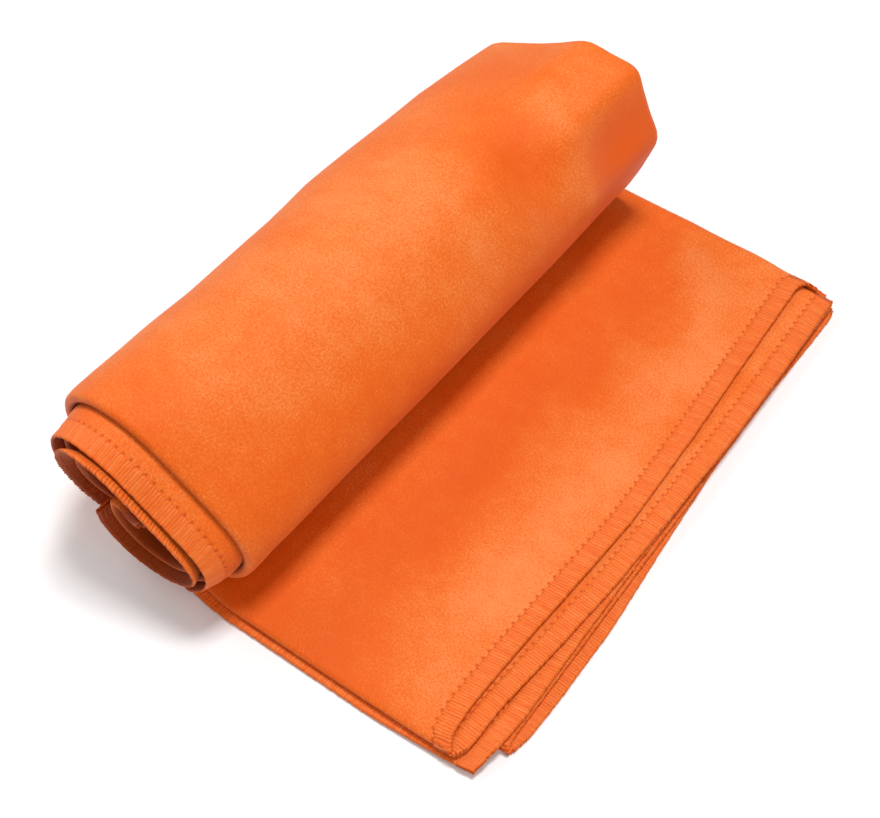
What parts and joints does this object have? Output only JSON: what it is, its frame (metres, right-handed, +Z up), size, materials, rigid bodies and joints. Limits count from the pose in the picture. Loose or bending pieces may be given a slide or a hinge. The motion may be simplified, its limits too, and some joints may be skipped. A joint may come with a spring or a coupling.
{
  "type": "quick dry towel",
  "caption": "Suede microfibre travel towel with overlocked edges, folded to a strip and loosely rolled, with its free tail lying flat and able to lift.",
  "frame": {"origin": "centre of the footprint, on the surface that the towel lies on", "axes": "+Z up; +Y along the strip's width, which is the length of the roll; +X from the roll towards the free tail"},
  "size_m": [0.1367, 0.1844, 0.0585],
  "materials": {
    "microfibre": "matt brushed suede microfibre, bright orange, short even nap",
    "overlock_thread": "self-coloured polyester overlock thread, slight sheen"
  },
  "bodies": {
    "root": {"inner_end_hem_flap": "overlock_thread", "inner_end_hem_layer_1": "overlock_thread", "inner_end_hem_layer_2": "overlock_thread", "inner_end_hem_layer_3": "overlock_thread", "inner_end_hem_layer_4": "overlock_thread", "roll_far_fold_1_4": "microfibre", "roll_far_fold_3_2": "microfibre", "roll_flap": "microfibre", "roll_layer_1": "microfibre", "roll_layer_2": "microfibre", "roll_layer_3": "microfibre", "roll_layer_4": "microfibre", "roll_near_fold_2_1": "microfibre", "roll_near_fold_4_flap": "microfibre", "roll_side_hem_flap": "overlock_thread", "roll_side_hem_layer_3": "overlock_thread"},
    "tail": {"end_hem_flap": "overlock_thread", "end_hem_layer_1": "overlock_thread", "end_hem_layer_2": "overlock_thread", "end_hem_layer_3": "overlock_thread", "end_hem_layer_4": "overlock_thread", "tail_far_fold_1_4": "microfibre", "tail_far_fold_3_2": "microfibre", "tail_flap": "microfibre", "tail_layer_1": "microfibre", "tail_layer_2": "microfibre", "tail_layer_3": "microfibre", "tail_layer_4": "microfibre", "tail_near_fold_2_1": "microfibre", "tail_near_fold_4_flap": "microfibre", "tail_side_hem_flap": "overlock_thread", "tail_side_hem_layer_3": "overlock_thread"}
  },
  "joints": [
    {"name": "tail_lift", "type": "hinge", "parent": "root", "child": "tail", "pos_m": [0.00254, 0, 0.0052], "axis": [0, -1, 0], "range_deg": [0, 80]}
  ]
}
